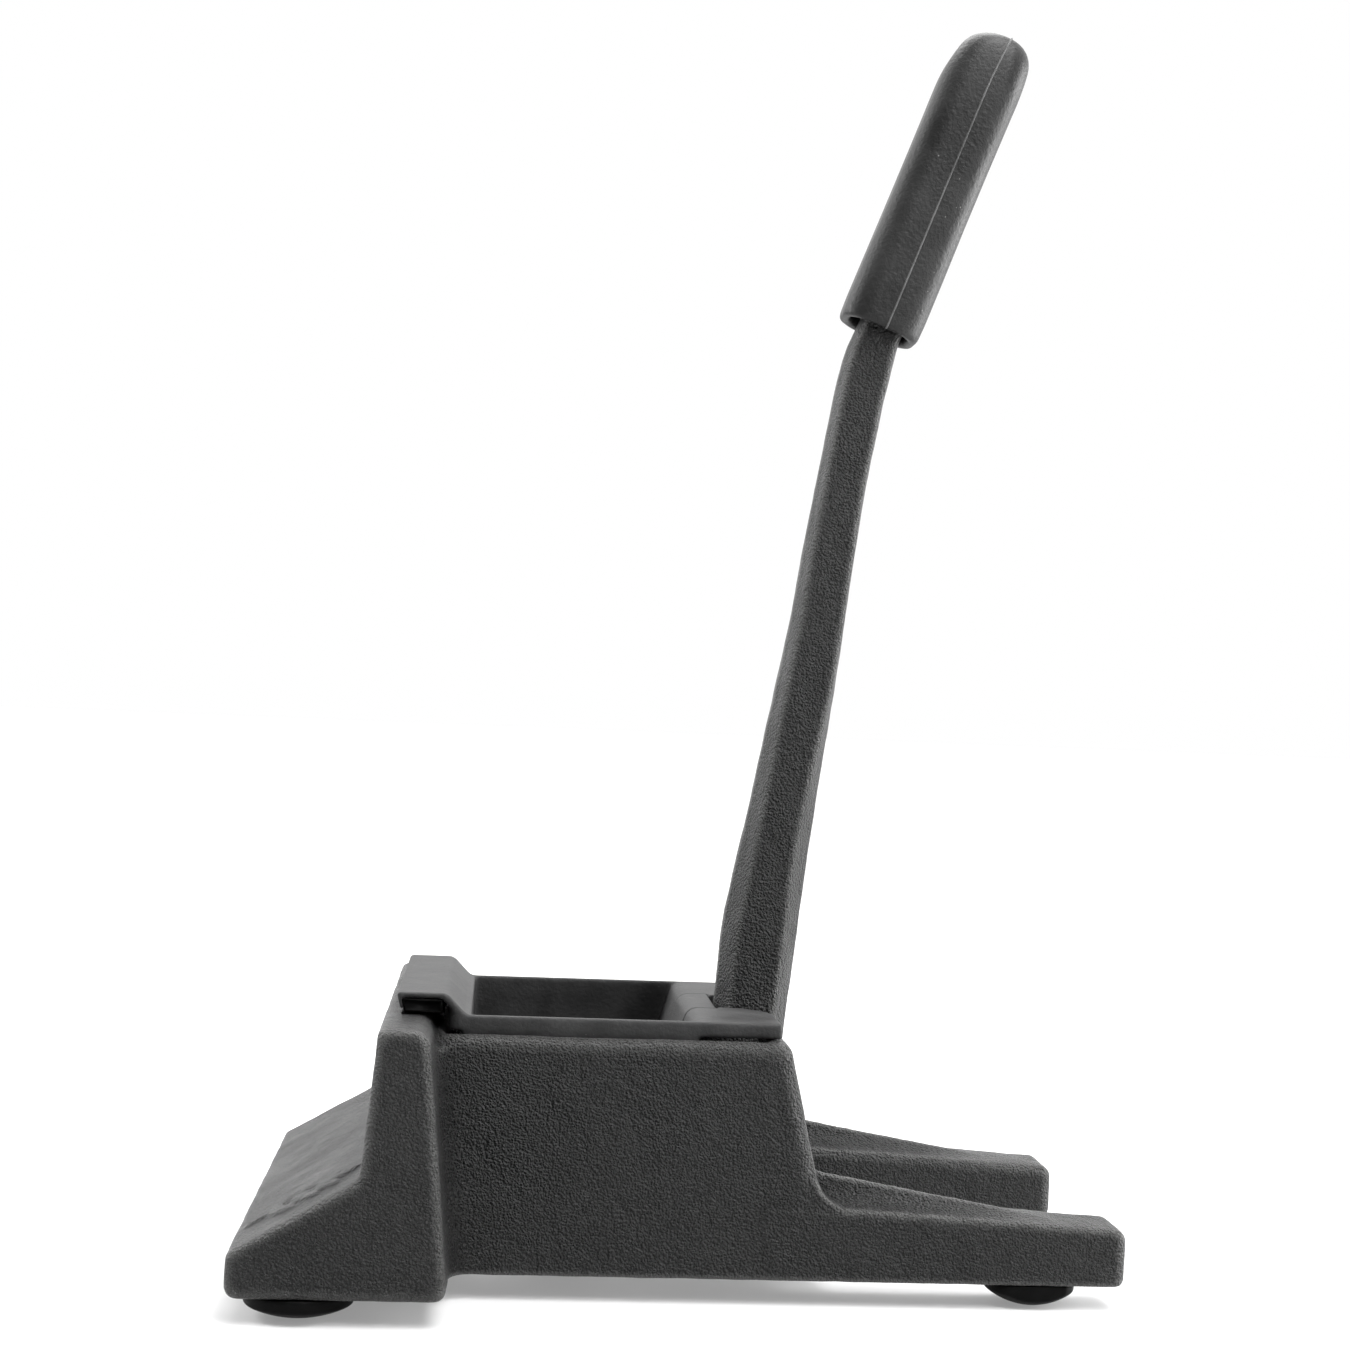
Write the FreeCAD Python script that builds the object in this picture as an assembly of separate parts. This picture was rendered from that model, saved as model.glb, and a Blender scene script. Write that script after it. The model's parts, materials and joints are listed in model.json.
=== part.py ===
import FreeCAD, Part
import math
import os

# Lever nutcracker in cast iron. Millimetres, +Z up, +X from the sloping front to the legs.
# The origin is on the table, under the middle of the whole tool. Left is +Y, right is -Y.

os.makedirs("parts", exist_ok=True)
V = FreeCAD.Vector

# Driving dimensions: the whole tool
length = 234.2          # sloping front to the ends of the legs
block_half = 80.5       # half the width of the front block at its underside
under = 6.5             # height of the casting's underside above the table
front = -length / 2
rear = length / 2

# Front block and upright
slope_foot_z = 17.5     # where the slope starts above the front face
slope_top = (-85.1, 35.9)
ear_front_x = -82.2
ear_rear_x = -69.3
ear_top_z = 72.8
ear_half = 74.6         # half width of the upright at its top
wall_foot_x = -62.0     # foot of the upright's back face
saddle_half = 24.0      # half width of the raised saddle that carries the tray's lip
saddle_top_z = 76.8

# Box behind the upright
box_half = 51.2
box_top_half = 50.3
box_top_z = 68.5
box_rear_top_x = 25.4
box_rear_foot_x = 39.8
box_wall = 6.0
cavity_half = 45.4
cavity_front_foot_x = -59.5
cavity_front_top_x = -66.0
notch_half = 14.5       # the lever passes through this notch in the back wall
notch_foot_z = 37.0

# Legs
leg_inner_y = 31.3
leg_root_z = 27.0       # leg's top where it leaves the box
leg_end_z = 21.8
leg_root_x = 20.0
ridge_y = 41.5          # stiffening ridge on the leg's top
ridge_root = (30.0, 34.6)
ridge_end_x = 98.0

# Lever and its pivot
pivot_x = 13.0
pivot_z = 21.0
pin_r = 6.0
running_gap = 0.04      # radial clearance of the bushes on the pin
hub_r = 12.5
hub_half = 12.5
bush_r = 8.0
bush_length = 11.5
washer_r = 11.0
washer_thick = 2.0
washer_gap = 0.3
lug_inner_y = 15.2
lug_thick = 7.0
lug_top_z = 31.0
ring_thick = 1.2
strap_thick = 3.0
strap_half_length = 16.0
strap_screw_x = 11.0    # screws each side of the pin
screw_r = 2.0
fit_gap = 0.05          # radial gap round every fixed pin, screw and stud

# Hand grip
grip_tilt = math.radians(20.55)
grip_foot = (48.9, 267.2)
grip_length = 93.0
grip_width = 20.8

# Nut tray
tray_half = 44.4
tray_rear_x = 23.4
rim_z = 73.0
rim_depth = 4.1         # how far the rim stands above the box
tray_wall = 2.2
bowl_front_x = -61.5
bowl_rear_x = 0.4       # rim end of the bowl's sloping back
bowl_floor_rear_x = -12.3
bowl_floor_z = 33.8
lip_top_z = 78.6
lip_front_x = -79.3
lip_rear_x = -65.9
lip_thick = 1.5
tongue_half = 14.7
tongue_slit = 0.35
tongue_foot_x = -30.5
tongue_thick = 1.8
slot_front_x = 8.6
slot_front_half = 12.6
slot_rear_half = 18.0

# Anvil: the fixed jaw
anvil_half = 15.6
anvil_low_z = 36.2
anvil_top_z = 65.0
anvil_face_low_x = -46.0
anvil_face_top_x = -40.0
anvil_screw_r = 3.0
anvil_screw_gap = 8.0   # screws each side of the middle

# Feet: place, radius of the rim and radius of the dome
foot_front = (-99.5, 66.2, 14.0, 30.0)
foot_rear = (93.0, 41.3, 12.2, 19.0)
foot_rear_half = 9.4    # the rear feet are trimmed to the width of the legs
foot_flat_r = 3.0
stud_r = 3.0
stud_into_iron = 9.0
stud_into_foot = 3.5


def on_xz(y):
    return lambda p: V(p.x, y, p.y)


def on_yz(x):
    return lambda p: V(x, p.x, p.y)


def on_xy(z):
    return lambda p: V(p.x, p.y, z)


def rounded_wire(points, radii, place):
    # A closed outline through corner points, each corner rounded by its own radius.
    corners = []
    for i, point in enumerate(points):
        corner = V(point[0], point[1], 0)
        if radii[i] == 0:
            corners.append((corner, None, corner))
            continue
        before = V(*points[i - 1], 0)
        after = V(*points[(i + 1) % len(points)], 0)
        back = (before - corner).normalize()
        ahead = (after - corner).normalize()
        half = back.getAngle(ahead) / 2
        set_back = radii[i] / math.tan(half)
        start = corner + back * set_back
        end = corner + ahead * set_back
        centre = corner + (back + ahead).normalize() * (radii[i] / math.sin(half))
        middle = centre + (corner - centre).normalize() * radii[i]
        corners.append((start, middle, end))
    edges = []
    for i, (start, middle, end) in enumerate(corners):
        if middle is not None:
            edges.append(Part.Arc(place(start), place(middle), place(end)).toShape())
        following = corners[(i + 1) % len(corners)][0]
        if (following - end).Length > 1e-6:
            edges.append(Part.LineSegment(place(end), place(following)).toShape())
    return Part.Wire(edges)


def prism(points, radii, place, along):
    return Part.Face(rounded_wire(points, radii, place)).extrude(along)


def plate_y(points, radii, y_low, y_high):
    # An outline in the XZ plane, extruded from one Y to another.
    return prism(points, radii, on_xz(y_low), V(0, y_high - y_low, 0))


def block(x, y, z):
    # A plain box from three (low, high) pairs.
    return Part.makeBox(x[1] - x[0], y[1] - y[0], z[1] - z[0], V(x[0], y[0], z[0]))


def rod_y(x, z, r, y_low, y_high):
    return Part.makeCylinder(r, y_high - y_low, V(x, y_low, z), V(0, 1, 0))


def rod_z(x, y, r, z_low, z_high):
    return Part.makeCylinder(r, z_high - z_low, V(x, y, z_low), V(0, 0, 1))


def mirrored(shape):
    return shape.mirror(V(0, 0, 0), V(0, 1, 0))


def along(pair_low, pair_high, z):
    # The X at height z on a line through two (x, z) points.
    share = (z - pair_low[1]) / (pair_high[1] - pair_low[1])
    return pair_low[0] + share * (pair_high[0] - pair_low[0])


def back_face_x(z):
    # Outer face of the box's sloping back wall.
    return along((box_rear_foot_x, under), (box_rear_top_x, box_top_z), z)


def cavity_front_x(z):
    return along((cavity_front_foot_x, under), (cavity_front_top_x, box_top_z), z)


def rounded(shape, radius, chosen):
    edges = [edge for edge in shape.Edges if chosen(edge)]
    return shape.makeFillet(radius, edges)


def front_block():
    outline = [
        (front, under), (front, slope_foot_z), slope_top, (ear_front_x, ear_top_z),
        (ear_rear_x, ear_top_z), (wall_foot_x, under),
    ]
    body = plate_y(outline, [3.2, 2.0, 2.2, 1.8, 4.6, 3.0], -block_half, block_half)
    sides = [(-block_half, under), (-ear_half, ear_top_z), (ear_half, ear_top_z), (block_half, under)]
    body = body.common(prism(sides, [0] * 4, on_yz(front - 1), V(length, 0, 0)))

    def on_side(edge):
        box = edge.BoundBox
        return box.YMin > ear_half - 1 or box.YMax < 1 - ear_half
    return rounded(body, 2.0, on_side)


def box_shell():
    outline = [
        (wall_foot_x - 10, under), (ear_rear_x - 3, box_top_z),
        (box_rear_top_x, box_top_z), (box_rear_foot_x, under),
    ]
    body = plate_y(outline, [0] * 4, -box_half, box_half)
    sides = [(-box_half, under), (-box_top_half, box_top_z), (box_top_half, box_top_z), (box_half, under)]
    body = body.common(prism(sides, [0] * 4, on_yz(front), V(length, 0, 0)))

    def back_corner(edge):
        box = edge.BoundBox
        return box.ZLength > 50 and box.XMin > 0
    body = rounded(body, 4.0, back_corner)

    def top_rim(edge):
        box = edge.BoundBox
        return box.ZMin > box_top_z - 0.1 and box.XMax > ear_rear_x
    return rounded(body, 3.6, top_rim)


def corner_fillet(side):
    # Concave fillet where the box's side meets the upright's back face.
    r = 6.0
    x = wall_foot_x
    y = side * box_half
    outline = Part.Wire([
        Part.LineSegment(V(x - 2, y - side * 2, under), V(x - 2, y + side * r, under)).toShape(),
        Part.LineSegment(V(x - 2, y + side * r, under), V(x, y + side * r, under)).toShape(),
        Part.Arc(V(x, y + side * r, under),
                 V(x + r * (1 - math.sqrt(0.5)), y + side * r * (1 - math.sqrt(0.5)), under),
                 V(x + r, y, under)).toShape(),
        Part.LineSegment(V(x + r, y, under), V(x + r, y - side * 2, under)).toShape(),
        Part.LineSegment(V(x + r, y - side * 2, under), V(x - 2, y - side * 2, under)).toShape(),
    ])
    height = box_top_z - 3.0 - under
    share = height / (ear_top_z - under)
    lean_x = (ear_rear_x - wall_foot_x) * share
    lean_y = side * (box_top_half - box_half) * share
    return Part.Face(outline).extrude(V(lean_x, lean_y, height))


def leg():
    # One leg on the left side: a tapering bar, rounded along its top edges and at its end.
    side = [(leg_root_x, under), (leg_root_x, leg_root_z), (rear, leg_end_z), (rear, under)]
    plan = [(leg_root_x, leg_inner_y), (leg_root_x, box_half), (rear, box_half), (rear, leg_inner_y)]
    across = [(leg_inner_y, under), (leg_inner_y, leg_root_z), (box_half, leg_root_z), (box_half, under)]
    body = plate_y(side, [0, 0, 3.5, 2.5], leg_inner_y, box_half)
    body = body.common(prism(plan, [0, 0, 3.0, 3.0], on_xy(under), V(0, 0, 30)))
    top = Part.makeLoft([
        leg_outline(across, leg_root_x - 1, leg_root_z),
        leg_outline(across, rear + 1, leg_end_z - 0.1),
    ], True, True)
    return body.common(top)


def leg_outline(across, x, top_z):
    # The leg's cross-section at one X, its top edges rounded.
    points = [(y, top_z if z > under else z) for y, z in across]
    return rounded_wire(points, [0, 3.0, 1.6, 0], on_yz(x))


def leg_top(x):
    return leg_root_z + (leg_end_z - leg_root_z) * (x - leg_root_x) / (rear - leg_root_x)


def leg_ridge():
    # A ridge with hollow flanks along the leg's top, high at the box and fading rearwards.
    half_base = 9.0
    half_crest = 0.9
    sections = []
    for x, crest in (ridge_root, (ridge_end_x, leg_top(ridge_end_x) + 0.05)):
        low = leg_top(x)
        rise = crest - low
        wing = half_base - half_crest
        foot_left = V(x, ridge_y - half_base, low)
        foot_right = V(x, ridge_y + half_base, low)
        crest_left = V(x, ridge_y - half_crest, crest)
        crest_right = V(x, ridge_y + half_crest, crest)
        hollow_left = V(x, ridge_y - half_crest - 0.36 * wing, low + 0.24 * rise)
        hollow_right = V(x, ridge_y + half_crest + 0.36 * wing, low + 0.24 * rise)
        down = V(0, 0, -1.5)
        sections.append(Part.Wire([
            Part.LineSegment(foot_left + down, foot_left).toShape(),
            Part.Arc(foot_left, hollow_left, crest_left).toShape(),
            Part.LineSegment(crest_left, crest_right).toShape(),
            Part.Arc(crest_right, hollow_right, foot_right).toShape(),
            Part.LineSegment(foot_right, foot_right + down).toShape(),
            Part.LineSegment(foot_right + down, foot_left + down).toShape(),
        ]))
    return Part.makeLoft(sections, True, True)


def leg_root_fillet():
    # Concave fillet between the leg's top and the box's back wall.
    r = 6.5
    z = leg_top(36.0)
    x = back_face_x(z)
    outline = Part.Wire([
        Part.LineSegment(V(x - 3, leg_inner_y + 1.8, z - 3), V(x - 3, leg_inner_y + 1.8, z + r)).toShape(),
        Part.LineSegment(V(x - 3, leg_inner_y + 1.8, z + r), V(x - 1.5, leg_inner_y + 1.8, z + r)).toShape(),
        Part.Arc(V(x - 1.5, leg_inner_y + 1.8, z + r),
                 V(x + 0.26 * r, leg_inner_y + 1.8, z + 0.26 * r),
                 V(x + r, leg_inner_y + 1.8, z - 0.3)).toShape(),
        Part.LineSegment(V(x + r, leg_inner_y + 1.8, z - 0.3), V(x + r, leg_inner_y + 1.8, z - 3)).toShape(),
        Part.LineSegment(V(x + r, leg_inner_y + 1.8, z - 3), V(x - 3, leg_inner_y + 1.8, z - 3)).toShape(),
    ])
    return Part.Face(outline).extrude(V(0, box_half - leg_inner_y - 2.4, 0))


def lug(side):
    # One of the two lugs that carry the pivot pin in a saddle open to below.
    foot_z = pivot_z - pin_r
    outline = [
        (-4.0, foot_z), (-4.0, 26.0), (2.0, lug_top_z),
        (back_face_x(lug_top_z) - 1, lug_top_z), (back_face_x(foot_z) - 1, foot_z),
    ]
    y_low, y_high = sorted((side * lug_inner_y, side * (lug_inner_y + lug_thick)))
    body = plate_y(outline, [2, 3, 3, 0, 0], y_low, y_high)
    seat_r = pin_r + fit_gap
    saddle = rod_y(pivot_x, pivot_z, seat_r, y_low, y_high)
    saddle = saddle.fuse(block((pivot_x - seat_r, pivot_x + seat_r), (y_low, y_high), (foot_z - 1, pivot_z)))
    body = body.cut(saddle)
    middle_y = side * (lug_inner_y + lug_thick / 2)
    for x in (pivot_x - strap_screw_x, pivot_x + strap_screw_x):
        body = body.cut(rod_z(x, middle_y, screw_r + fit_gap, foot_z - 1, foot_z + 9))
    return body


def leaf(centre, angle, long_r, wide_r, height):
    # A pointed leaf as the overlap of two discs, flat in the XY plane.
    offset = (long_r * long_r - wide_r * wide_r) / (2 * wide_r)
    disc_r = offset + wide_r
    one = Part.makeCylinder(disc_r, height, V(0, offset, 0))
    other = Part.makeCylinder(disc_r, height, V(0, -offset, 0))
    shape = one.common(other)
    shape.rotate(V(0, 0, 0), V(0, 0, 1), angle)
    shape.translate(V(centre[0], centre[1], 0))
    return shape


def sprig():
    # Raised sprig of leaves on the slope, near its right end.
    height = 1.6
    shapes = [block((-15, 11), (-0.55, 0.55), (0, height))]
    shapes.append(leaf((12.5, 0), 0, 5.0, 2.3, height))
    for i, (step, reach) in enumerate(((-8.5, 6.4), (-1.5, 5.8), (5.2, 4.8))):
        for side in (-1, 1):
            shapes.append(leaf((step + reach * 0.62, side * reach * 0.72), side * 48, reach, 2.3, height))
    motif = shapes[0].multiFuse(shapes[1:])
    tilt = math.atan2(slope_top[1] - slope_foot_z, slope_top[0] - front)
    motif.rotate(V(0, 0, 0), V(0, 1, 0), -math.degrees(tilt))
    middle = V((front + slope_top[0]) / 2, -(block_half - 24), (slope_foot_z + slope_top[1]) / 2)
    sink = V(math.sin(tilt), 0, -math.cos(tilt)) * (height - 0.8)
    motif.translate(middle + sink)
    return motif


def base_casting():
    body = front_block().fuse(box_shell())
    saddle = plate_y(
        [(-76.0, ear_top_z - 4), (-75.6, saddle_top_z), (-69.4, saddle_top_z), (-67.4, box_top_z - 1)],
        [0, 1.5, 1.5, 0], -saddle_half, saddle_half)
    additions = [saddle]
    for side in (-1, 1):
        additions.append(corner_fillet(side))
    one_leg = leg().multiFuse([leg_ridge(), leg_root_fillet()])
    additions += [one_leg, mirrored(one_leg)]
    body = body.multiFuse(additions)

    cavity = plate_y(
        [(cavity_front_x(0), 0), (cavity_front_x(90), 90),
         (back_face_x(90) - box_wall, 90), (back_face_x(0) - box_wall, 0)],
        [0] * 4, -cavity_half, cavity_half)
    upright_keep = block((front, ear_rear_x + 1.9), (-saddle_half, saddle_half), (box_top_z - 1, 90))
    body = body.cut(cavity.cut(upright_keep))
    body = body.cut(block((0, rear), (-notch_half, notch_half), (notch_foot_z, 90)))

    body = body.multiFuse([lug(-1), lug(1), sprig()])
    for x, y, _, _ in (foot_front, foot_rear):
        for side in (-1, 1):
            body = body.cut(rod_z(x, side * y, stud_r + fit_gap, under - 1, under + stud_into_iron))
    middle_z = (anvil_low_z + anvil_top_z) / 2
    for side in (-1, 1):
        y = side * anvil_screw_gap
        body = body.cut(Part.makeCylinder(anvil_screw_r + fit_gap, 40, V(-95, y, middle_z), V(1, 0, 0)))
        body = body.cut(Part.makeCylinder(5.4, 15, V(-92.5, y, middle_z), V(1, 0, 0)))
    return body.removeSplitter()


def anvil():
    # Fixed jaw: a block on the upright's back with a leaning, grooved face.
    outline = [
        (cavity_front_x(anvil_low_z), anvil_low_z), (cavity_front_x(anvil_top_z), anvil_top_z),
        (anvil_face_top_x, anvil_top_z), (anvil_face_low_x, anvil_low_z),
    ]
    body = plate_y(outline, [0, 0, 2.0, 2.0], -anvil_half, anvil_half)
    grooves = 4
    for i in range(grooves):
        z = anvil_low_z + (i + 1) * (anvil_top_z - anvil_low_z) / (grooves + 1)
        x = along((anvil_face_low_x, anvil_low_z), (anvil_face_top_x, anvil_top_z), z)
        body = body.cut(rod_y(x + 0.6, z, 1.6, -anvil_half - 1, anvil_half + 1))
    middle_z = (anvil_low_z + anvil_top_z) / 2
    for side in (-1, 1):
        start = V(-70, side * anvil_screw_gap, middle_z)
        body = body.cut(Part.makeCylinder(anvil_screw_r + fit_gap, 25, start, V(1, 0, 0)))
    return body


def anvil_screws():
    middle_z = (anvil_low_z + anvil_top_z) / 2
    screws = []
    for side in (-1, 1):
        y = side * anvil_screw_gap
        shank = Part.makeCylinder(anvil_screw_r, 29, V(-77.5, y, middle_z), V(1, 0, 0))
        head = Part.makeCylinder(5.0, 6.0, V(-83.5, y, middle_z), V(1, 0, 0))
        socket = prism(
            [(2.9 * math.cos(math.radians(60 * i)), 2.9 * math.sin(math.radians(60 * i))) for i in range(6)],
            [0] * 6, lambda p, y=y: V(-83.6, y + p.x, middle_z + p.y), V(3.2, 0, 0))
        screws.append(shank.fuse(head).cut(socket))
    return Part.makeCompound(screws)


def bar_section(z, front_x, rear_x, half, front_set, rear_set):
    # Level section of the bar: widest at its sides, with a ridge in front and a spine behind.
    crest = 0.2 * half
    points = [
        (front_x, -crest), (front_x, crest), (front_x + front_set, half), (rear_x - rear_set, half),
        (rear_x, crest), (rear_x, -crest), (rear_x - rear_set, -half), (front_x + front_set, -half),
    ]
    soft = min(1.6, 0.16 * half)
    return rounded_wire(points, [soft] * 8, on_xy(z))


def lever():
    # Height, front and rear face, half width, and how far the side faces sit in from front and rear.
    stations = [
        (22.5, 1.4, 24.0, 12.0, 3.0, 3.0),
        (40.5, 3.6, 26.2, 12.1, 3.2, 4.0),
        (58.5, 7.0, 28.4, 11.8, 3.2, 4.8),
        (76.5, 9.3, 30.3, 11.3, 3.0, 4.8),
        (100.0, 11.4, 32.6, 10.9, 3.3, 4.8),
        (128.0, 16.8, 35.6, 10.4, 2.7, 4.4),
        (150.0, 20.8, 38.4, 10.0, 2.2, 2.8),
        (172.0, 24.9, 41.1, 9.6, 1.8, 1.4),
        (205.0, 30.0, 44.7, 9.0, 1.4, 1.2),
        (240.0, 35.6, 50.0, 8.4, 1.2, 1.2),
        (254.0, 38.1, 52.7, 8.1, 1.2, 1.2),
        (262.0, 40.2, 54.4, 8.0, 1.2, 1.2),
    ]
    tang_stations = [
        (262.0, 40.2, 54.4, 8.0, 1.2, 1.2),
        (275.0, 45.8, 59.2, 7.6, 1.2, 1.2),
        (338.0, 69.9, 81.5, 6.6, 1.2, 1.2),
    ]
    bar = Part.makeLoft([bar_section(*station) for station in stations], True, False)
    tang = Part.makeLoft([bar_section(*station) for station in tang_stations], True, True)
    hub = rod_y(pivot_x, pivot_z, hub_r, -hub_half, hub_half)
    hub = rounded(hub, 1.2, lambda edge: edge.Closed)
    body = bar.multiFuse([tang, hub])
    return body.cut(rod_y(pivot_x, pivot_z, bush_r, -20, 20))


def bush(side):
    y_low, y_high = sorted((side * (hub_half - bush_length), side * hub_half))
    outer = rod_y(pivot_x, pivot_z, bush_r, y_low, y_high)
    return outer.cut(rod_y(pivot_x, pivot_z, pin_r + running_gap, y_low - 1, y_high + 1))


def thrust_washer(side):
    start = hub_half + washer_gap
    y_low, y_high = sorted((side * start, side * (start + washer_thick)))
    outer = rod_y(pivot_x, pivot_z, washer_r, y_low, y_high)
    outer = outer.cut(rod_y(pivot_x, pivot_z, pin_r + fit_gap, y_low - 1, y_high + 1))
    return rounded(outer, 0.35, lambda edge: edge.Closed and edge.Curve.Radius > washer_r - 0.1)


def pivot_pin():
    ring_y = lug_inner_y + lug_thick + 0.3
    end_y = ring_y + ring_thick + 2.4
    pin = rod_y(pivot_x, pivot_z, pin_r, -end_y, end_y)
    pin = pin.makeChamfer(0.7, [edge for edge in pin.Edges if edge.Closed])
    for side in (-1, 1):
        y_low, y_high = sorted((side * ring_y, side * (ring_y + ring_thick)))
        groove = rod_y(pivot_x, pivot_z, pin_r + 1, y_low, y_high)
        pin = pin.cut(groove.cut(rod_y(pivot_x, pivot_z, pin_r - 0.8, y_low, y_high)))
    return pin


def retaining_ring(side):
    ring_y = lug_inner_y + lug_thick + 0.3
    y_low, y_high = sorted((side * ring_y, side * (ring_y + ring_thick)))
    ring = rod_y(pivot_x, pivot_z, pin_r + 2.2, y_low, y_high)
    ring = ring.cut(rod_y(pivot_x, pivot_z, pin_r - 0.8 + fit_gap, y_low, y_high))
    mouth = block((pivot_x - 3.2, pivot_x + 3.2), (y_low, y_high), (pivot_z - 12, pivot_z))
    return ring.cut(mouth)


def pin_strap(side):
    # Steel strap under a lug that shuts the pin's saddle.
    top_z = pivot_z - pin_r
    y = side * (lug_inner_y + lug_thick / 2)
    half_wide = lug_thick / 2
    outline = [
        (pivot_x - strap_half_length, y - half_wide), (pivot_x - strap_half_length, y + half_wide),
        (pivot_x + strap_half_length, y + half_wide), (pivot_x + strap_half_length, y - half_wide),
    ]
    body = prism(outline, [3.0] * 4, on_xy(top_z - strap_thick), V(0, 0, strap_thick))
    for x in (pivot_x - strap_screw_x, pivot_x + strap_screw_x):
        body = body.cut(rod_z(x, y, screw_r + fit_gap, 0, top_z + 1))
    return body


def strap_screws():
    screws = []
    seat_z = pivot_z - pin_r - strap_thick
    for side in (-1, 1):
        y = side * (lug_inner_y + lug_thick / 2)
        for x in (pivot_x - strap_screw_x, pivot_x + strap_screw_x):
            shank = rod_z(x, y, screw_r, seat_z, seat_z + strap_thick + 8.5)
            head = rod_z(x, y, 3.6, seat_z - 2.6, seat_z)
            head = rounded(head, 0.8, lambda edge: edge.Closed and edge.BoundBox.ZMax < seat_z - 1)
            slot = block((x - 0.5, x + 0.5), (y - 4, y + 4), (seat_z - 3, seat_z - 1.4))
            screws.append(shank.fuse(head).cut(slot))
    return Part.makeCompound(screws)


def grip_frame(u, v, along_axis):
    # A point on the grip from its own axes: u forwards to rearwards, v sideways, then up the grip.
    x = grip_foot[0] + u * math.cos(grip_tilt) + along_axis * math.sin(grip_tilt)
    z = grip_foot[1] - u * math.sin(grip_tilt) + along_axis * math.cos(grip_tilt)
    return V(x, v, z)


def grip_wire(front_u, rear_u, width, radius, reach):
    points = [(front_u, -width / 2), (front_u, width / 2), (rear_u, width / 2), (rear_u, -width / 2)]
    return rounded_wire(points, [radius] * 4, lambda p: grip_frame(p.x, p.y, reach))


def hand_grip():
    # A sleeve over the lever's tang, slightly waisted, closed at the top, with an open mouth below.
    shoulder = grip_length - 17
    outer = Part.makeLoft([
        grip_wire(-11.6, 11.4, grip_width, 6.0, 0),
        grip_wire(-11.2, 10.5, grip_width - 0.4, 6.0, 37),
        grip_wire(-12.0, 11.8, grip_width, 6.0, shoulder),
    ], True, False)
    crown = Part.makeLoft([
        grip_wire(-12.0, 11.8, grip_width, 6.0, shoulder),
        grip_wire(-11.2, 11.3, grip_width - 1.0, 5.8, grip_length - 10),
        grip_wire(-9.8, 10.9, grip_width - 3.0, 5.6, grip_length - 5),
        grip_wire(-7.0, 9.4, grip_width - 6.5, 5.0, grip_length - 1.5),
        grip_wire(-3.0, 6.6, grip_width - 12, 3.5, grip_length),
    ], True, True)
    body = outer.fuse(crown)
    hollow = Part.makeLoft([
        grip_wire(-9.6, 9.6, 17.6, 4.5, -1),
        grip_wire(-8.6, 8.6, 16.4, 4.0, 12),
        grip_wire(-7.3, 7.3, 14.8, 3.5, grip_length - 14),
    ], True, True)
    return body.cut(hollow).removeSplitter()


def tray_slot(z_low, z_high):
    # The gap round the lever: narrow in front, flaring open to the rear.
    half = [
        (slot_front_x, slot_front_half), (tray_rear_x - 8, slot_front_half + 1.2),
        (tray_rear_x - 2.5, slot_rear_half), (tray_rear_x + 2, slot_rear_half + 12),
    ]
    points = half + [(x, -y) for x, y in reversed(half)]
    radii = [0.8, 8.0, 5.0, 0, 0, 5.0, 8.0, 0.8]
    return prism(points, radii, on_xy(z_low), V(0, 0, z_high - z_low))


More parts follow.
